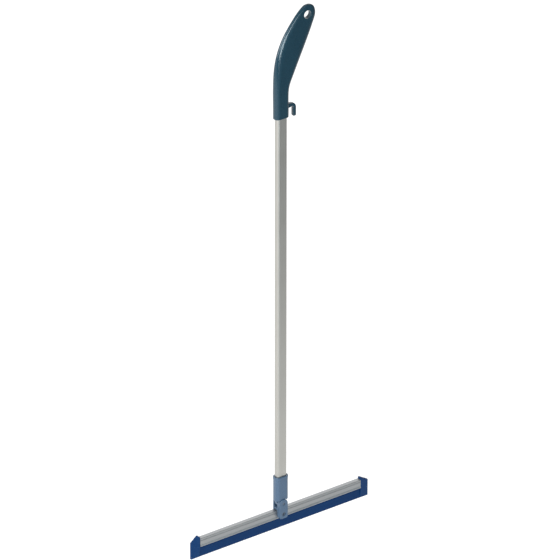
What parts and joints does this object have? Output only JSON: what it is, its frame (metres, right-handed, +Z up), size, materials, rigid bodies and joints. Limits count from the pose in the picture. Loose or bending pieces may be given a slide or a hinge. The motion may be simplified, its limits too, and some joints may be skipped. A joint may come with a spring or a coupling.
{
  "type": "squeegee applicator",
  "caption": "Long-handled squeegee: hinged aluminium head with a rubber blade and rubber end caps, oval pole, curved moulded grip with a hanging hole and hook.",
  "frame": {"origin": "middle of the blade's tip", "axes": "+Z up the pole, +X along the head towards the side that the grip bends to, -Y is the front"},
  "size_m": [0.45, 0.0249, 1.1658],
  "materials": {
    "rail": "satin anodised, fine extrusion streaks",
    "pole": "satin anodised",
    "blade_rubber": "matt navy blue",
    "cap_rubber": "matt navy blue",
    "blue_plastic": "light grey blue, moulded",
    "grip_plastic": "dark teal, fine moulded grain",
    "plug_plastic": "grey, moulded",
    "bush_plastic": "natural white",
    "steel": "zinc plated"
  },
  "bodies": {
    "handle": {"pivot_bush": "bush_plastic", "pole_socket": "blue_plastic", "socket_pin": "steel", "pole_tube": "pole", "pole_foot_plug": "plug_plastic", "pole_top_plug": "plug_plastic", "grip_pin": "steel", "grip_front_shell": "grip_plastic", "grip_rear_shell": "grip_plastic"},
    "head": {"channel_rail": "rail", "rubber_blade": "blade_rubber", "end_cap_left": "cap_rubber", "end_cap_right": "cap_rubber", "end_cap_pin_left": "steel", "end_cap_pin_right": "steel", "bracket_front": "blue_plastic", "bracket_rear": "blue_plastic", "bracket_screw": "steel", "bracket_nut": "steel", "pivot_pin": "steel", "pivot_washer_front": "steel", "pivot_washer_rear": "steel"}
  },
  "joints": [
    {"name": "head_tilt", "type": "hinge", "parent": "handle", "child": "head", "pos_m": [0, 0, 0.06], "axis": [0, 1, 0], "range_deg": [-55, 55]}
  ]
}
